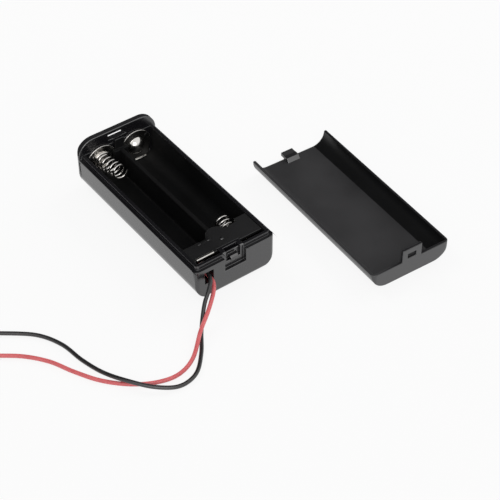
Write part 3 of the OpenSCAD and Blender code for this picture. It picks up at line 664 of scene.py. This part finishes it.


# a copy of the node's shape with rounded edges, its finishes and its painted light and shade
def softened(nodeName, pieceName, width, mat, body):
    bm = bmesh.new()
    bm.from_mesh(frame["nodes"][nodeName].data)
    bmesh.ops.remove_doubles(bm, verts=bm.verts, dist=edgeSizes["weld"])
    bmesh.ops.dissolve_limit(bm, angle_limit=math.radians(edgeSizes["oneFace"]), verts=bm.verts, edges=bm.edges)
    bmesh.ops.triangulate(bm, faces=[f for f in bm.faces if len(f.verts) > 4])
    roundBoxes = rounder.get(nodeName, ())
    widest = rounder["width"] if roundBoxes else width
    weight = bm.edges.layers.float.new("bevel_weight_edge")
    for e in bm.edges:
        if len(e.link_faces) == 2 and e.calc_face_angle() > math.radians(edgeSizes["roundFrom"]):
            e[weight] = width / widest
            for low, high in roundBoxes:
                if all(low[i] * mm <= v.co[i] <= high[i] * mm for v in e.verts for i in range(3)):
                    e[weight] = 1
    mesh = bpy.data.meshes.new(pieceName)
    bm.to_mesh(mesh)
    bm.free()
    rough = newPiece(pieceName + "_draft", mesh, mat)
    for f in mesh.polygons:
        f.use_smooth = True
    bevel = rough.modifiers.new("edges", "BEVEL")
    bevel.width, bevel.segments = widest, edgeSizes["segments"]
    bevel.limit_method = "WEIGHT"
    bevel.use_clamp_overlap = False
    rough.modifiers.new("faces", "WEIGHTED_NORMAL").keep_sharp = True
    mesh.set_sharp_from_angle(angle=math.radians(edgeSizes["sharpFrom"]))
    plain = bpy.data.meshes.new_from_object(rough.evaluated_get(bpy.context.evaluated_depsgraph_get()))
    bpy.data.objects.remove(rough)
    plain.name = pieceName
    piece = newPiece(pieceName, plain, mat)
    low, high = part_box(nodeName)
    for test, other in finishesAndPaintedLight.get(nodeName, ()):
        plain.materials.append(other)
        for f in plain.polygons:
            if test(f, low, high):
                f.material_index = len(plain.materials) - 1
    takePlace(piece, nodeName, body)
    print(pieceName, "has", sum(len(f.vertices) - 2 for f in plain.polygons), "triangles")


for nodeName, pieceName, edge, mat, body, slot in [
        ("case", "case_moulding", "case", casePlastic, "case_body", "case"),
        ("cover", "cover_moulding", "cover", coverPlastic, "cover_body", "cover"),
        ("compartment_plate", "plate_moulding", "plate", platePlastic, "case_body", "plate"),
        ("bridge_contact", "bridge_sheet", "sheet", nickelSheet, "case_body", "contact"),
        ("positive_contact", "positive_sheet", "sheet", nickelSheet, "case_body", "contact"),
        ("negative_contact", "negative_sheet", "thin", nickelSheet, "case_body", "contact"),
        ("switch_frame", "switch_can", "can", tinnedSteel, "case_body", "switch_metal"),
        ("switch_base", "switch_board", "laminate", laminate, "case_body", "laminate"),
        ("switch_terminals", "switch_blades", "thin", silverBrass, "case_body", "terminal"),
        ("switch_knob", "switch_slider", "knob", knobPlastic, "knob_body", "knob")]:
    softened(nodeName, pieceName, edgeSizes[edge], mat, body)

# these two keep the frame's own shape
for nodeName, mat in [("switch_wiper", bronze), ("solder_joints", solder)]:
    o = frame["nodes"][nodeName]
    o.data.materials.clear()
    o.data.materials.append(mat)
print("finishes set")


# ---- floor, surroundings and lamps ----

studio = {
    "floorHalf": 3.0,
    "floorDrop": 0.05 * mm,
    "floorTint": (0.95, 0.95, 0.95),
    "shadowShare": 0.12,        # how much of the floor's own shading shows
    "tableGlow": 1.0,           # the floor as gloss sees it
    "nearFoot": 0.40,           # the surroundings as gloss sees them: in front and low down
    "nearWall": 1.15,           # in front and higher up
    "farWall": 0.36,            # behind and low down
    "roof": 0.03,               # behind and overhead
    "nearRise": (0.12, 0.42),   # between which heights of the sky each change lies
    "farFall": (0.15, 0.45),
    "turn": (-0.05, 0.30),      # and how far back front turns into behind
    "fill": 0.50,               # the surroundings as matt surfaces see them
}


def lightPath(tree, *names):
    path = tree.nodes.new("ShaderNodeLightPath")
    total = path.outputs[names[0]]
    for n in names[1:]:
        add = tree.nodes.new("ShaderNodeMath")
        add.operation = "MAXIMUM"
        tree.links.new(total, add.inputs[0])
        tree.links.new(path.outputs[n], add.inputs[1])
        total = add.outputs[0]
    return total


def mixed(tree, share, first, second):
    node = tree.nodes.new("ShaderNodeMixShader")
    if isinstance(share, float):
        node.inputs[0].default_value = share
    else:
        tree.links.new(share, node.inputs[0])
    tree.links.new(first, node.inputs[1])
    tree.links.new(second, node.inputs[2])
    return node.outputs[0]


def makeFloor(s):
    mesh = bpy.data.meshes.new("floor")
    half = s["floorHalf"]
    mesh.from_pydata([(-half, -half, 0), (half, -half, 0), (half, half, 0), (-half, half, 0)], [], [(0, 1, 2, 3)])
    mat, tree, _, out = nodeMaterial("pale_floor", shader=False)
    matt = tree.nodes.new("ShaderNodeBsdfDiffuse")
    matt.inputs["Color"].default_value = (*s["floorTint"], 1)
    glow = tree.nodes.new("ShaderNodeEmission")
    glow.inputs["Strength"].default_value = s["tableGlow"]
    shaded = mixed(tree, 1 - s["shadowShare"], matt.outputs[0], glow.outputs[0])
    direct = lightPath(tree, "Is Camera Ray", "Is Glossy Ray", "Is Transmission Ray")
    seen = mixed(tree, direct, matt.outputs[0], shaded)
    tree.links.new(seen, out.inputs[0])
    floor = newPiece("floor", mesh, mat)
    floor.location.z = -s["floorDrop"]


# goes smoothly from the first level to the second while the value crosses the span
def worldRange(tree, value, span, first, second):
    node = tree.nodes.new("ShaderNodeMapRange")
    node.interpolation_type = "SMOOTHSTEP"
    for i, v in enumerate((*span, first, second), 1):
        if isinstance(v, bpy.types.NodeSocket):
            tree.links.new(v, node.inputs[i])
        else:
            node.inputs[i].default_value = v
    tree.links.new(value, node.inputs["Value"])
    return node.outputs["Result"]


def makeWorld(s):
    world = bpy.data.worlds.new("studio")
    world.use_nodes = True
    tree = world.node_tree
    tree.nodes.clear()
    out = tree.nodes.new("ShaderNodeOutputWorld")
    split = tree.nodes.new("ShaderNodeSeparateXYZ")
    tree.links.new(tree.nodes.new("ShaderNodeTexCoord").outputs["Generated"], split.inputs[0])
    front = worldRange(tree, split.outputs["Z"], s["nearRise"], s["nearFoot"], s["nearWall"])
    back = worldRange(tree, split.outputs["Z"], s["farFall"], s["farWall"], s["roof"])
    level = worldRange(tree, split.outputs["Y"], s["turn"], front, back)
    glows = []
    for strength in (s["fill"], level, 1.0):
        glow = tree.nodes.new("ShaderNodeBackground")
        if isinstance(strength, float):
            glow.inputs["Strength"].default_value = strength
        else:
            tree.links.new(strength, glow.inputs["Strength"])
        glows.append(glow.outputs[0])
    inGloss = mixed(tree, lightPath(tree, "Is Glossy Ray", "Is Transmission Ray"), glows[0], glows[1])
    tree.links.new(mixed(tree, lightPath(tree, "Is Camera Ray"), inGloss, glows[2]), out.inputs[0])
    bpy.context.scene.world = world


lampAim = (0.02, 0, 0)
lampSetup = {
    "key": {"place": (-0.30, -0.60, 0.45), "size": 0.45, "power": 1.5, "inGloss": True},
    "side": {"place": (0.62, 0.05, 0.42), "size": 0.40, "power": 1.4, "inGloss": False},
    "back": {"place": (-0.15, 0.65, 0.60), "size": 0.35, "power": 1.6, "inGloss": False},
}


def makeLamps(lamps):
    for name, lamp in lamps.items():
        data = bpy.data.lights.new(name, "AREA")
        data.shape, data.size, data.energy = "SQUARE", lamp["size"], lamp["power"]
        o = bpy.data.objects.new(name, data)
        o.location = lamp["place"]
        o.rotation_euler = (Vector(lampAim) - o.location).to_track_quat("-Z", "Y").to_euler()
        o.visible_glossy = lamp["inGloss"]
        bpy.context.scene.collection.objects.link(o)


makeFloor(studio)
makeWorld(studio)
makeLamps(lampSetup)
bpy.context.scene.view_settings.view_transform = "Standard"
print("studio lit")
